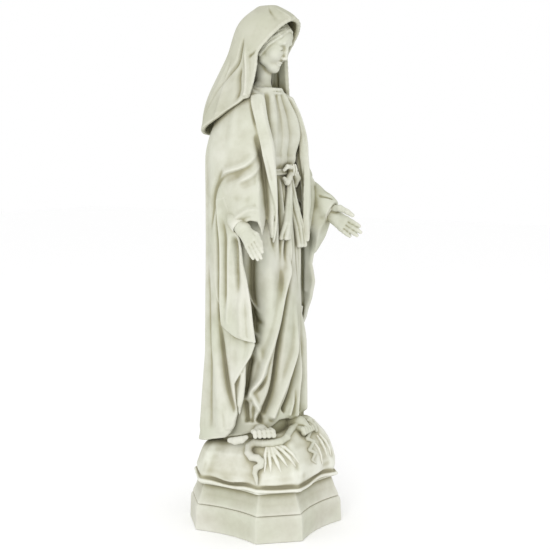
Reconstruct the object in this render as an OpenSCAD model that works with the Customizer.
// Draped standing figure on a rocky mound and a two-tier plinth.
// Cast stone sections, stacked on a steel tie rod, with bonded drapery, hands and veil.
// The figure faces -Y and its right side is -X. The origin is the centre of the plinth's underside.

/* [Plinth] */
// Half width of the plinth across its hollowed sides, at the ground
plinth_half_w = 101; // [96:1:106]
// Half length of a hollowed side, between two corner cuts
side_half = 53; // [48:1:58]
// Depth of the hollow in each long side
side_hollow = 7; // [4:1:10]
// Height of the lower tier
lower_tier_h = 38; // [34:1:42]
// Height of the upper tier
upper_tier_h = 30; // [26:1:34]

/* [Mound] */
// Height of the rocky mound at its middle
mound_h = 63; // [58:1:68]
// Fall of the mound's top from front to back, as a slope
mound_fall = 0.186; // [0.15:0.006:0.21]
// Thickness of the rim round the foot of the mound
rim_h = 8; // [6:1:10]

/* [Figure] */
// Height of the figure, from the middle of the mound's top to the crown of the veil
figure_h = 619; // [597:2:641]
// Scale of the figure's breadth and depth
girth = 1; // [0.97:0.01:1.03]
// Depth of the pleats in the gown
pleat = 3; // [1:0.5:4]
// Thickness of the mantle
mantle_t = 8; // [6:1:9]
// Thickness of the veil
veil_t = 6; // [5:1:7]

/* [Hardware] */
// Diameter of the steel tie rod
rod_d = 10; // [8:1:12]
// Diameter of the steel dowels that hold the hands
dowel_d = 5; // [4:0.5:6]
// Gap left for mortar or adhesive between two castings
bond = 0.4; // [0.3:0.1:0.6]

/* [Hidden] */

stone = [0.86, 0.87, 0.80];
steel = [0.62, 0.63, 0.65];

// Levels, from the ground up. The sole level is that of the mound's top at the middle.
mound_z = lower_tier_h + upper_tier_h;
sole_z = mound_z + mound_h;
waist_z = sole_z + 0.622 * figure_h;
belt_h = 10;
neck_z = sole_z + 0.806 * figure_h;
head_z = sole_z + 0.913 * figure_h;
top_z = sole_z + figure_h;

// The figure stands a little behind the middle of the plinth
axis_y = 12;

// Clear hole for the rod, the nut pocket under the plinth and the socket in the neck
rod_hole_d = rod_d + 1;
washer_d = 3 * rod_d;
washer_t = 2.5;
nut_af = 1.7 * rod_d;
nut_h = 0.8 * rod_d;
pocket_d = washer_d + 8;
pocket_h = 20;
socket_d = 34;
socket_h = 40;
socket_floor_z = neck_z + 8 - socket_h;
rod_bottom_z = 4;
rod_top_z = socket_floor_z + washer_t + nut_h + 3;

// Elbows, wrists and fingertips, as [x, y, z]. The left arm reaches further forward.
right_elbow = [-80, 32, sole_z + 0.59 * figure_h];
right_wrist = [-86, -22, sole_z + 0.476 * figure_h];
right_tip = [-96, -68, sole_z + 0.438 * figure_h];
left_elbow = [80, 22, sole_z + 0.59 * figure_h];
left_wrist = [86, -46, sole_z + 0.526 * figure_h];
left_tip = [98, -96, sole_z + 0.476 * figure_h];

// Head: place of the middle of the skull, with how far it is bowed and turned
head_at = [1, -2, head_z];
head_bow = 20;
head_turn = 14;

// Stations up the gown: share of the figure's height, half width, front depth, back depth
gown_stations = [
    [-0.02, 76, 68, 64], [0.06, 73, 67, 62], [0.20, 66, 66, 58], [0.35, 62, 61, 56],
    [0.49, 57, 56, 53], [0.58, 49, 48, 47], [0.622, 43, 42, 43], [0.66, 47, 47, 47],
    [0.70, 53, 48, 52], [0.75, 54, 38, 52], [0.79, 42, 27, 44], [0.82, 24, 23, 27]
];

// Stations up the outside of the mantle, in the same form
mantle_stations = [
    [-0.03, 93, 72, 86], [0.03, 89, 70, 80], [0.20, 85, 70, 73], [0.45, 82, 69, 71],
    [0.60, 80, 66, 69], [0.70, 76, 58, 67], [0.75, 68, 47, 64], [0.785, 53, 36, 56],
    [0.815, 36, 28, 44]
];

// Stations up the outside of the veil: share of height, half width, front, back, middle y
veil_stations = [
    [0.70, 70, 30, 76, 15], [0.74, 64, 32, 69, 13], [0.79, 51, 38, 59, 6], [0.85, 42, 46, 53, 0],
    [0.90, 40, 52, 48, -2], [0.95, 36, 53, 41, -3], [0.98, 25, 42, 29, -3], [1.00, 8, 12, 10, -3]
];

// A smooth curve through one column of a table of stations
function station_slope(table, i, col) =
    let (a = max(0, i - 1), b = min(len(table) - 1, i + 1))
    (table[b][col] - table[a][col]) / (table[b][0] - table[a][0]);
function station(table, share, col) =
    let (
        f = min(max(share, table[0][0]), table[len(table) - 1][0]),
        below = [for (k = [0 : len(table) - 2]) if (table[k][0] <= f) k],
        i = below[len(below) - 1],
        h = table[i + 1][0] - table[i][0],
        t = (f - table[i][0]) / h,
        m0 = station_slope(table, i, col) * h,
        m1 = station_slope(table, i + 1, col) * h
    )
    (2 * t ^ 3 - 3 * t ^ 2 + 1) * table[i][col] + (t ^ 3 - 2 * t ^ 2 + t) * m0
    + (3 * t ^ 2 - 2 * t ^ 3) * table[i + 1][col] + (t ^ 3 - t ^ 2) * m1;

// Radius of a squarish oval at angle t. 0 is the front, 90 is the figure's left.
function oval(t, half_w, front, back) =
    let (n = 2.25, depth = cos(t) > 0 ? front : back)
    (abs(sin(t) / half_w) ^ n + abs(cos(t) / depth) ^ n) ^ (-1 / n);
function polar_about(t, r, z, y) = [r * sin(t), y - r * cos(t), z];
function share_at(z) = (z - sole_z) / figure_h;
function ground(y) = sole_z - mound_fall * y;
function fade(x, from, to) = min(1, max(0, (x - from) / (to - from)));

// The body's axis comes forward towards the neck
function axis_at(z) = axis_y * (1 - 0.9 * fade(share_at(z), 0.66, 0.8));
function polar(t, r, z) = polar_about(t, r, z, axis_at(z));

function shell_r(table, t, z) =
    let (f = share_at(z))
    girth * oval(t, station(table, f, 1), station(table, f, 2), station(table, f, 3));

// The gown's skin with its pleats, and a smooth skin just clear of them
function gown_wave(z) =
    pleat * (fade(share_at(z), 0.66, 0.1) + 0.4 * fade(share_at(z), 0.6, 0.68));
function gown_r(t, z) =
    let (f = share_at(z))
    shell_r(gown_stations, t, z) + pleat * fade(f, 0.66, 0.1) * cos(9 * t + 150 * f)
    + 0.4 * pleat * fade(f, 0.6, 0.68) * cos(18 * t);
function gown_clear_r(t, z) = shell_r(gown_stations, t, z) + gown_wave(z) + bond;

// The mantle's skin, in the same two forms
function mantle_wave(z) = 0.8 * pleat * fade(share_at(z), 0.75, 0.4);
function mantle_r(t, z) = shell_r(mantle_stations, t, z) + mantle_wave(z) * cos(11 * t);
function mantle_clear_r(t, z) = shell_r(mantle_stations, t, z) + mantle_wave(z) + bond;

function veil_r(t, z) = shell_r(veil_stations, t, z);
function veil_y(z) = station(veil_stations, share_at(z), 4);

// Triangles of a grid of points, row by row. Rows close on themselves if ring is true.
function grid_faces(columns, rows, first, flip, ring) =
    [for (j = [0 : rows - 2], i = [0 : ring ? columns - 1 : columns - 2])
        let (
            a = first + j * columns + i,
            b = first + j * columns + (i + 1) % columns,
            c = b + columns,
            d = a + columns
        )
        each flip ? [[a, c, b], [a, d, c]] : [[a, b, c], [a, c, d]]];

// A solid whose skin is a stack of closed rings with flat ends. rings is a list of lists of points.
module ring_solid(rings) {
    columns = len(rings[0]);
    rows = len(rings);
    polyhedron(
        points = [for (ring = rings) each ring],
        faces = concat(
            grid_faces(columns, rows, 0, true, true),
            [[for (i = [0 : columns - 1]) i]],
            [[for (i = [columns - 1 : -1 : 0]) (rows - 1) * columns + i]]
        )
    );
}

// A sheet of cloth: a grid of outer points, the matching inner points, and the edge between them.
module sheet_solid(outer, inner) {
    columns = len(outer[0]);
    rows = len(outer);
    back = columns * rows;
    last = (rows - 1) * columns;
    rim = concat(
        [for (i = [0 : columns - 1]) i],
        [for (j = [1 : rows - 1]) j * columns + columns - 1],
        [for (i = [columns - 2 : -1 : 0]) last + i],
        [for (j = [rows - 2 : -1 : 1]) j * columns]
    );
    polyhedron(
        points = concat([for (row = outer) each row], [for (row = inner) each row]),
        faces = concat(
            grid_faces(columns, rows, 0, true, false),
            grid_faces(columns, rows, back, false, false),
            [for (k = [0 : len(rim) - 1])
                let (a = rim[k], b = rim[(k + 1) % len(rim)])
                each [[a, b, b + back], [a, b + back, a + back]]]
        )
    );
}

// A chain of tapering rounds through a list of [point, radius]
module limb(joints, fn = 16) {
    for (i = [0 : len(joints) - 2]) {
        hull() {
            translate(joints[i][0]) sphere(r = joints[i][1], $fn = fn);
            translate(joints[i + 1][0]) sphere(r = joints[i + 1][1], $fn = fn);
        }
    }
}

// Stands a shape made along +Z at one point so that it points towards another
module aim(from, to) {
    d = to - from;
    translate(from) rotate([0, acos(d[2] / norm(d)), atan2(d[1], d[0])]) children();
}

// Outline of the plinth: a square with cut corners and long sides hollowed to a shallow arc.
// half_w is the half width, side the half length of a hollowed side, hollow its depth.
function plinth_outline(half_w, side, hollow, steps = 8) =
    [for (q = [0 : 3], i = [0 : steps])
        let (
            u = 2 * i / steps - 1,
            x = side * u,
            y = -half_w + hollow * (1 - u ^ 2)
        )
        [x * cos(90 * q) - y * sin(90 * q), x * sin(90 * q) + y * cos(90 * q)]];
function at_level(outline, z) = [for (p = outline) [p[0], p[1], z]];

// Profile of a tier: each entry is [level, inset from the plinth's half width]
function tier_rings(profile) =
    [for (p = profile)
        at_level(plinth_outline(plinth_half_w - p[1], side_half - 0.2 * p[1], side_hollow), p[0])];

module rod_bore(from_z, to_z) {
    translate([0, 0, from_z]) cylinder(d = rod_hole_d, h = to_z - from_z, $fn = 48);
}

module plinth_lower_tier() {
    color(stone) difference() {
        ring_solid(tier_rings([
            [0, 0], [0.62 * lower_tier_h, 2], [0.9 * lower_tier_h, 4.5], [lower_tier_h, 5.5]
        ]));
        rod_bore(-1, lower_tier_h + 1);
        translate([0, 0, -1]) cylinder(d = pocket_d, h = pocket_h + 1, $fn = 64);
    }
}

module plinth_upper_tier() {
    z = lower_tier_h;
    color(stone) difference() {
        ring_solid(tier_rings([
            [z, 6.5], [z + 0.35 * upper_tier_h, 9], [z + 0.7 * upper_tier_h, 14],
            [z + upper_tier_h, 16]
        ]));
        rod_bore(z - 1, z + upper_tier_h + 1);
    }
}

// The mound: its outline runs from the plinth's at the rim to a lumpy round at the top, and its
// top slopes down to the back
function mound_point(p, share, inset, lump, rise) =
    let (
        a = atan2(p[1], p[0]),
        round_r = plinth_half_w - inset,
        r = (norm(p) - inset + 10) * (1 - share) + round_r * share
            + lump * (0.5 * cos(7 * a) - cos(4 * a)),
        y = r * sin(a)
    )
    [r * cos(a), y, mound_z + rise - (rise > rim_h + 3 ? mound_fall * y * rise / mound_h : 0)];
module mound_body(gap = 0) {
    outline = plinth_outline(plinth_half_w - 10, side_half - 2, side_hollow, 6);
    // share of the height above the rim, blend to round, inset, depth of the lumps
    ring_solid([for (s = [
        [0, 0, 13, 0], [rim_h / 2, 0, 9, 0], [rim_h, 0, 13, 0], [rim_h + 2, 0.2, 16, 0],
        [0.4 * mound_h, 0.5, 9, 3], [0.6 * mound_h, 0.6, 7, 4], [0.8 * mound_h, 0.8, 11, 3],
        [0.93 * mound_h, 1, 16, 2], [mound_h, 1, 25, 1]
    ])
        [for (p = outline) mound_point(p, s[1], s[2] - gap, s[3], s[0] + (s[0] > 0 ? gap : 0))]]);
}
module rock_mound() {
    color(stone) difference() {
        mound_body();
        rod_bore(mound_z - 1, sole_z + 20);
    }
}

// The serpent winds over the front right of the mound, its head between the feet
module serpent() {
    body_r = 5;
    path = [
        [[-91, -60, ground(-60) - 52], 1.2], [[-86, -62, ground(-60) - 43], 2.4], [[-87, -62, ground(-60) - 33], 3.6],
        [[-84, -66, ground(-60) - 25], 4.4], [[-87, -60, ground(-60) - 17], body_r],
        [[-93, -50, ground(-50) - 16], body_r], [[-93, -44, ground(-50) - 8], body_r],
        [[-84, -52, ground(-50) - 1], body_r], [[-68, -66, ground(-66) + 1], body_r],
        [[-52, -73, ground(-73) + 1], body_r], [[-36, -78, ground(-78)], body_r],
        [[-22, -80, ground(-80)], body_r + 1.5], [[-12, -82, ground(-80) - 1], 4]
    ];
    coil = [for (k = [0 : 6])
        [[-86 + 3 * cos(50 * k), -24 + 8 * sin(50 * k), ground(-24) + 1 - 0.6 * k], 4.5]];
    color(stone) difference() {
        union() {
            limb(path, 12);
            limb(coil, 12);
        }
        mound_body(bond);
        skirt_envelope(bond);
        foot_shape(-1, 0.5);
        foot_shape(1, 0.5);
    }
}

// Long narrow leaves, fanned over the mound below the serpent
module leaf_spray() {
    root = [-74, -68, ground(-60) - 10];
    blades = [
        [-86, -62, -44], [-83, -66, -52], [-78, -72, -42], [-73, -77, -36], [-69, -80, -32],
        [-65, -84, -30], [-61, -87, -33]
    ];
    color(stone) difference() {
        for (tip = blades) {
            end = [tip[0], tip[1], ground(-60) + tip[2]];
            limb([[root, 2.6], [(root + end) / 2 + [-5, -5, 2], 3.2], [end, 1.2]], 8);
        }
        mound_body(bond);
        serpent_room();
    }
}
// Room for the serpent above the leaves
module serpent_room() {
    translate([-110, -100, ground(-60) - 8]) cube([100, 80, 40]);
}

// A bare foot with five toes, coming out under the hem. side is -1 for the right foot.
module foot_shape(side, grow = 0) {
    heel = side < 0 ? [-54, -24, ground(-24) + 7] : [6, -44, ground(-44) + 7];
    ball = side < 0 ? [-68, -46, ground(-46) + 4] : [9, -66, ground(-66) + 4];
    across = side < 0 ? [0.84, -0.54, 0] : [0.99, -0.1, 0];
    forward = [across[1], -across[0], 0];
    for (k = [-2 : 2]) {
        toe_r = 3.4 + grow - 0.35 * side * k;
        base = ball + 6.2 * k * across;
        limb([
            [heel + 3 * k * across, 8 + grow], [base, toe_r + 1],
            [base + (9 - 0.8 * abs(k - side)) * forward + [0, 0, -1], toe_r]
        ], 12);
    }
}
module foot(side) {
    color(stone) difference() {
        foot_shape(side);
        mound_body(bond);
        skirt_envelope(bond);
    }
}
module right_foot() {
    foot(-1);
}
module left_foot() {
    foot(1);
}

// Rings of the gown between two levels. The lowest ring follows the slope of the mound if grounded.
function gown_ring_point(t, from_z, to_z, v, gap, grounded) =
    let (
        z = from_z + (to_z - from_z) * v,
        p = polar(t, gown_r(t, z) + gap, z)
    )
    [p[0], p[1], grounded ? z + (ground(p[1]) + bond - gap - from_z) * (1 - v) : z];
function gown_rings(from_z, to_z, rows, gap = 0, sides = 54, grounded = false) =
    [for (j = [0 : rows])
        [for (i = [0 : sides - 1]) gown_ring_point(360 * i / sides, from_z, to_z, j / rows, gap, grounded)]];
module skirt_envelope(gap) {
    ring_solid([for (j = [0 : 4])
        let (z = sole_z - 30 + 30 * j)
        [for (i = [0 : 35]) polar(10 * i, gown_clear_r(10 * i, max(z, sole_z)) + gap, z)]]);
}
module gown_skirt() {
    color(stone) difference() {
        ring_solid(gown_rings(sole_z, waist_z, 20, 0, 54, true));
        rod_bore(sole_z - 20, waist_z + 1);
    }
}
module gown_bodice() {
    color(stone) difference() {
        ring_solid(gown_rings(waist_z, neck_z + 8, 8));
        rod_bore(waist_z - 1, socket_floor_z + 1);
        translate([0, 0, socket_floor_z]) cylinder(d = socket_d, h = socket_h + 1, $fn = 64);
    }
}

// The sash: a stepped band over the joint between skirt and bodice, and a tied bow with two tails
module band_outline(out) {
    polygon([for (i = [0 : 59])
        let (p = polar(6 * i, gown_clear_r(6 * i, waist_z) + out, 0)) [p[0], p[1]]]);
}
module band_layer(out, from_z, to_z) {
    translate([0, 0, from_z]) linear_extrude(to_z - from_z) difference() {
        band_outline(out);
        band_outline(0.5);
    }
}
module sash_band() {
    color(stone) {
        band_layer(3.5, waist_z - belt_h / 2, waist_z + belt_h / 2);
        band_layer(4.5, waist_z - belt_h / 6, waist_z + belt_h / 6);
    }
}
module sash_bow() {
    front = axis_y - gown_clear_r(0, waist_z) - 8;
    knot = [0, front, waist_z + 2];
    color(stone) difference() {
        union() {
            translate(knot) sphere(r = 5, $fn = 16);
            for (side = [-1, 1]) {
                limb([
                    [knot, 3], [knot + [9 * side, -1, 4], 4], [knot + [17 * side, 1, -1], 4.5],
                    [knot + [15 * side, 0, -8], 3.5], [knot + [side, 0, -2], 3]
                ], 10);
                limb([
                    [knot, 3], [knot + [3 * side, -3, -20], 4], [knot + [7 * side, -7, -50], 5],
                    [knot + [11 * side, -11, -85], 6]
                ], 10);
            }
        }
        ring_solid([for (j = [0 : 5])
            let (z = waist_z - 100 + 24 * j)
            [for (i = [0 : 35]) polar(10 * i, gown_clear_r(10 * i, z) + bond, z)]]);
        translate([0, 0, waist_z - belt_h / 2 - bond]) linear_extrude(belt_h + 2 * bond) band_outline(5);
    }
}

// Angle of the mantle's free edge from the front, at a level. It opens to the sides below the lapels.
function mantle_edge(z) =
    let (f = share_at(z)) 33 + 34 * fade(f, 0.66, 0.79) + 49 * fade(f, 0.48, 0.43);
// The hem clears the mound, and is lowest at the back
function mantle_point(t, v, inner) =
    let (
        hem = ground(axis_y - 84 * cos(t)) + 5 - 4 * cos(t),
        z = hem + (neck_z - hem) * v,
        out = mantle_r(t, z)
    )
    polar(t, inner ? max(gown_clear_r(t, z), out - 2.2 * mantle_t) : out, z);
module mantle_back() {
    rows = 22;
    columns = 32;
    function angle(i, v) =
        let (e = mantle_edge(sole_z + (neck_z - sole_z) * v)) e + (360 - 2 * e) * i / columns;
    function skin(inner) =
        [for (j = [0 : rows]) [for (i = [0 : columns]) mantle_point(angle(i, j / rows), j / rows, inner)]];
    color(stone) difference() {
        sheet_solid(skin(false), skin(true));
        mound_body(bond);
    }
}

// The sleeve over one forearm, with the fall of cloth that hangs from it. side is -1 for the right.
// top_t and low_t are the angles of the fall's front edge, tip_rise how far its front corner rises.
module arm_fall(side, elbow, wrist, low_share, top_t, low_t, tip_rise) {
    rows = 10;
    columns = 9;
    high = elbow[2];
    low = sole_z + low_share * figure_h;
    function angle(i, v) =
        side * (low_t + (top_t - low_t) * v + (122 - low_t) * i / columns);
    function level(i, v) = low + (high - low) * v + tip_rise * (1 - v) * (1 - i / columns);
    function skin(inner) =
        [for (j = [0 : rows]) [for (i = [0 : columns])
            let (v = j / rows, z = level(i, v), t = angle(i, v))
            polar(t, mantle_clear_r(t, z) + (inner ? 0 : mantle_t + 2 * cos(60 * i)), z)]];
    reach = wrist - elbow;
    color(stone) difference() {
        union() {
            if (side < 0) sheet_solid(skin(true), skin(false));
            else sheet_solid(skin(false), skin(true));
            limb([[elbow, 20], [elbow + 0.5 * reach, 20], [elbow + 0.8 * reach, 18]], 18);
            // The front edge of the fall runs down from the wrist
            limb([
                [elbow + 0.8 * reach, 12], [elbow + 0.7 * reach + [0, 0, -40], 9],
                [polar(side * low_t, mantle_clear_r(side * low_t, low + tip_rise) + 6, low + tip_rise)
                    + [0, 0, 12], 5]
            ], 12);
        }
        ring_solid([for (j = [0 : 10])
            let (z = low - 10 + (high + 30 - low) * j / 10)
            [for (i = [0 : 39]) polar(9 * i, mantle_clear_r(9 * i, z) - 0.01, z)]]);
        aim(wrist, elbow) translate([0, 0, -20]) cylinder(r = 15, h = 44, $fn = 32);
    }
}
module mantle_right_fall() {
    arm_fall(-1, right_elbow, right_wrist, 0.14, 66, 58, 68);
}
module mantle_left_fall() {
    arm_fall(1, left_elbow, left_wrist, 0.22, 60, 74, 20);
}

// A cuff round the wrist, with a dowel hole for the hand
module cuff(elbow, wrist) {
    color(stone) difference() {
        aim(wrist, elbow) cylinder(r1 = 12, r2 = 14, h = 22, $fn = 40);
        aim(wrist, elbow) translate([0, 0, -1]) cylinder(d = dowel_d + 0.2, h = 17, $fn = 32);
    }
}
module right_cuff() {
    cuff(right_elbow, right_wrist);
}
module left_cuff() {
    cuff(left_elbow, left_wrist);
}

// An open hand: a palm, four fingers and a thumb. up is the side that the thumb is on.
module hand(elbow, wrist, tip, up) {
    length = norm(tip - wrist);
    along = (tip - wrist) / length;
    back_off = wrist + (wrist - elbow) / norm(wrist - elbow) * bond;
    spread = cross(along, up) / norm(cross(along, up));
    thumb_way = cross(spread, along);
    knuckle = wrist + along * 0.5 * length;
    color(stone) difference() {
        union() {
            hull() {
                translate(wrist + along * 4) sphere(r = 7, $fn = 16);
                for (k = [-1, 1])
                    translate(knuckle + thumb_way * 7.5 * k) sphere(r = 4.5, $fn = 16);
            }
            for (k = [0 : 3]) {
                reach = length - 3 - 2 * abs(k - 1.5);
                hull() {
                    translate(knuckle + thumb_way * (6.9 - 4.6 * k)) sphere(r = 3.3, $fn = 16);
                    translate(wrist + along * reach + thumb_way * (5.4 - 3.6 * k)) sphere(r = 2.2, $fn = 16);
                }
            }
            hull() {
                translate(wrist + along * 12 + thumb_way * 6) sphere(r = 4, $fn = 16);
                translate(wrist + along * 0.62 * length + thumb_way * 15) sphere(r = 2.4, $fn = 16);
            }
        }
        aim(back_off, elbow) cylinder(r = 20, h = 40, $fn = 32);
        aim(wrist, elbow) translate([0, 0, -15]) cylinder(d = dowel_d + 0.2, h = 20, $fn = 32);
    }
}
module right_hand() {
    hand(right_elbow, right_wrist, right_tip, [-0.5, 0.45, 1]);
}
module left_hand() {
    hand(left_elbow, left_wrist, left_tip, [-0.6, 0, 1]);
}
module hand_dowels() {
    color(steel) {
        aim(right_wrist, right_elbow) translate([0, 0, -13]) cylinder(d = dowel_d, h = 28, $fn = 32);
        aim(left_wrist, left_elbow) translate([0, 0, -13]) cylinder(d = dowel_d, h = 28, $fn = 32);
    }
}

// Head and neck. The spigot under the neck stands in the socket of the bodice.
module head_skull(grow = 0) {
    translate(head_at) rotate([head_bow, 0, head_turn]) {
        translate([0, 4, 8]) sphere(r = 31 + grow, $fn = 32);
        hull() {
            translate([0, -7, 6]) sphere(r = 24 + grow, $fn = 24);
            translate([0, -14, -24]) sphere(r = 12 + grow, $fn = 24);
        }
        if (grow == 0) hull() {
            translate([0, -29, 6]) sphere(r = 3, $fn = 12);
            translate([0, -34, -6]) sphere(r = 3.5, $fn = 12);
        }
    }
}
module head() {
    spigot_z = socket_floor_z + washer_t + nut_h + 6;
    color(stone) union() {
        head_skull();
        translate([0, 0, spigot_z]) cylinder(d = socket_d - 2 * bond, h = neck_z + 8 - spigot_z, $fn = 64);
        translate([0, 0, neck_z + 8]) cylinder(r1 = 17, r2 = 14, h = head_z - neck_z - 28, $fn = 48);
    }
}

// Rings of the veil between two levels, with its skin set in by inset
function veil_rings(from_z, to_z, rows, inset, sides = 40) =
    [for (j = [0 : rows])
        let (z = from_z + (to_z - from_z) * (1 - (1 - j / rows) ^ 1.3))
        [for (i = [0 : sides - 1])
            polar_about(360 * i / sides, max(1, veil_r(360 * i / sides, z) - inset), z, veil_y(z))]];
module veil() {
    low = sole_z + 0.705 * figure_h;
    cheek_z = head_z - 18;
    color(stone) difference() {
        ring_solid(veil_rings(low, top_z, 18, 0));
        ring_solid(veil_rings(low - 1, top_z - veil_t, 14, veil_t));
        head_skull(bond);
        // Mantle and bodice fill the inside up to the neck
        ring_solid([for (j = [0 : 5])
            let (z = low - 4 + (neck_z + bond - low + 4) * j / 5)
            [for (i = [0 : 39]) polar(9 * i, mantle_clear_r(9 * i, z), z)]]);
        // The hem rises from the back to the front corners of the cape
        translate([0, 90, low - 6]) rotate([-26, 0, 0]) translate([-100, -200, -80]) cube([200, 200, 80]);
        // Opening round the face: upright beside the cheeks, then sloping out to the peak
        translate([-80, -102, low - 10]) cube([160, 100, cheek_z - low + 10]);
        translate([0, 0, cheek_z]) rotate([-41, 0, 0]) translate([-80, -100, -60]) cube([160, 98, 60]);
    }
}

// Hardware of the tie rod: the rod, a washer and a nut at each end
module tie_rod() {
    color(steel) translate([0, 0, rod_bottom_z]) cylinder(d = rod_d, h = rod_top_z - rod_bottom_z, $fn = 48);
}
module washer(z) {
    translate([0, 0, z]) difference() {
        cylinder(d = washer_d, h = washer_t, $fn = 48);
        translate([0, 0, -1]) cylinder(d = rod_d + 0.6, h = washer_t + 2, $fn = 48);
    }
}
module rod_washers() {
    color(steel) {
        washer(pocket_h - washer_t);
        washer(socket_floor_z);
    }
}
module nut(z) {
    translate([0, 0, z]) difference() {
        cylinder(d = nut_af / cos(30), h = nut_h, $fn = 6);
        translate([0, 0, -1]) cylinder(d = rod_d + 0.1, h = nut_h + 2, $fn = 48);
    }
}
module rod_nuts() {
    color(steel) {
        nut(pocket_h - washer_t - nut_h);
        nut(socket_floor_z + washer_t);
    }
}

plinth_lower_tier();
plinth_upper_tier();
rock_mound();
serpent();
leaf_spray();
right_foot();
left_foot();
gown_skirt();
gown_bodice();
sash_band();
sash_bow();
mantle_back();
mantle_right_fall();
mantle_left_fall();
right_cuff();
left_cuff();
right_hand();
left_hand();
head();
veil();
tie_rod();
rod_washers();
rod_nuts();
hand_dowels();
